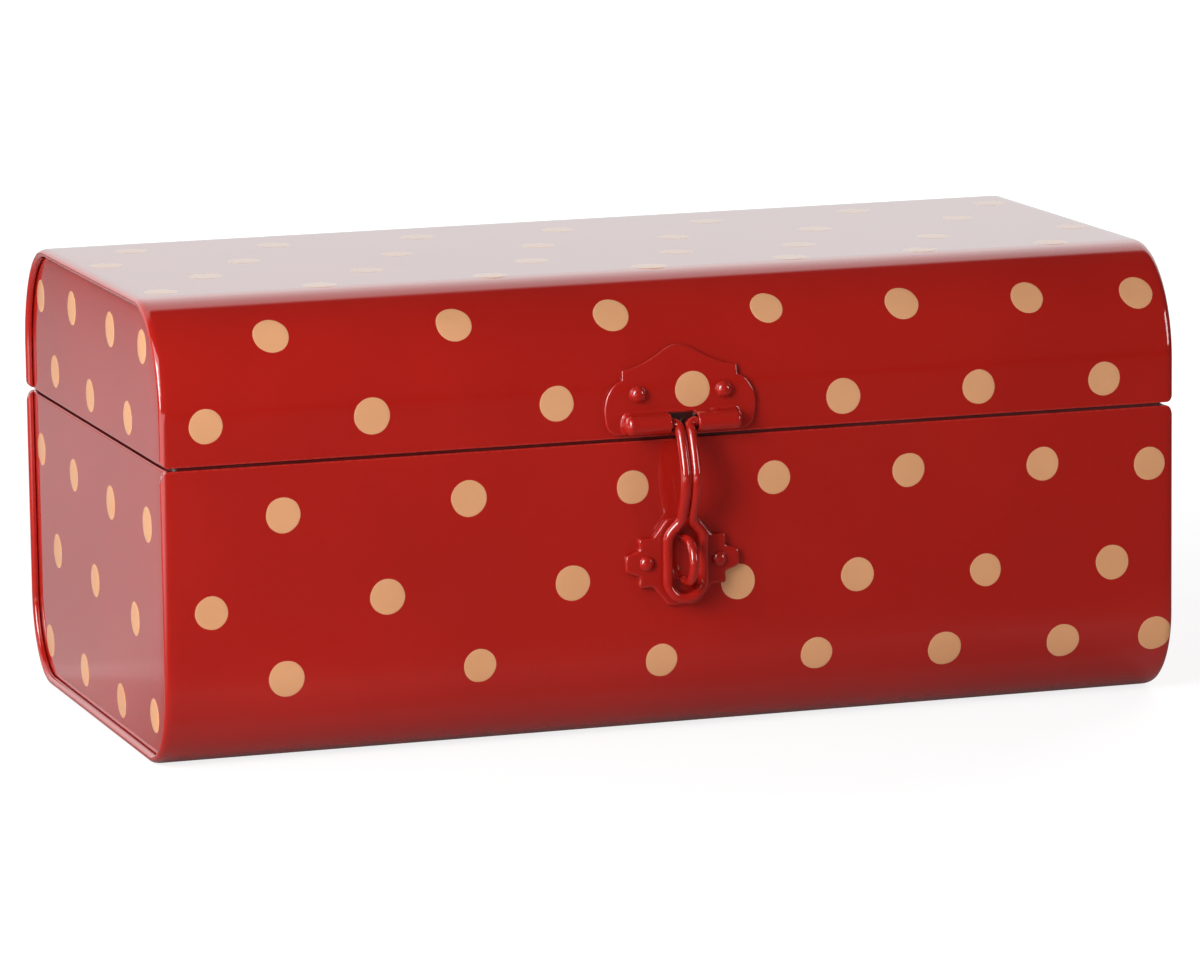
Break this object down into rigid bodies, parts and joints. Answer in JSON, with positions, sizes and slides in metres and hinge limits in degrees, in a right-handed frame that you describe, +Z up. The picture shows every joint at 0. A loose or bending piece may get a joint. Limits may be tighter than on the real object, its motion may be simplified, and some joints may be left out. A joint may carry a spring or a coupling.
{
  "type": "storage suitcase",
  "caption": "Small enamelled tin suitcase with hemmed ends, a domed-edge lid on two rear hinges, and a wire hasp that drops over a staple.",
  "frame": {"origin": "middle of the case's flat underside", "axes": "+X along the case's length, to the right of someone facing its front; -Y towards the front with the hasp; +Z up"},
  "size_m": [0.3, 0.1747, 0.13],
  "materials": {
    "body_enamel": "glossy red enamel with cream dots",
    "lid_enamel": "glossy red enamel with cream dots",
    "fittings_enamel": "glossy red enamel"
  },
  "bodies": {
    "body": {"body_wrap": "body_enamel", "body_end_left": "body_enamel", "body_end_right": "body_enamel", "body_mouth_lip": "body_enamel", "keeper_plate": "fittings_enamel", "keeper_staple": "fittings_enamel", "keeper_rivet_left": "fittings_enamel", "keeper_rivet_right": "fittings_enamel", "hinge_left_body_leaf": "fittings_enamel", "hinge_left_body_rivet_left": "fittings_enamel", "hinge_left_body_rivet_right": "fittings_enamel", "hinge_left_pin": "fittings_enamel", "hinge_right_body_leaf": "fittings_enamel", "hinge_right_body_rivet_left": "fittings_enamel", "hinge_right_body_rivet_right": "fittings_enamel", "hinge_right_pin": "fittings_enamel"},
    "lid": {"lid_wrap": "lid_enamel", "lid_end_left": "lid_enamel", "lid_end_right": "lid_enamel", "hasp_plate": "fittings_enamel", "hasp_rivet_left": "fittings_enamel", "hasp_rivet_right": "fittings_enamel", "hinge_left_lid_leaf": "fittings_enamel", "hinge_left_lid_rivet_left": "fittings_enamel", "hinge_left_lid_rivet_right": "fittings_enamel", "hinge_right_lid_leaf": "fittings_enamel", "hinge_right_lid_rivet_left": "fittings_enamel", "hinge_right_lid_rivet_right": "fittings_enamel"},
    "loop": {"hasp_loop": "fittings_enamel"}
  },
  "joints": [
    {"name": "lid_hinge", "type": "hinge", "parent": "body", "child": "lid", "pos_m": [0, 0.0812, 0.0855], "axis": [-1, 0, 0], "range_deg": [0, 110]},
    {"name": "hasp_swing", "type": "hinge", "parent": "lid", "child": "loop", "pos_m": [0, -0.0817, 0.09005], "axis": [-1, 0, 0], "range_deg": [0, 135]}
  ]
}
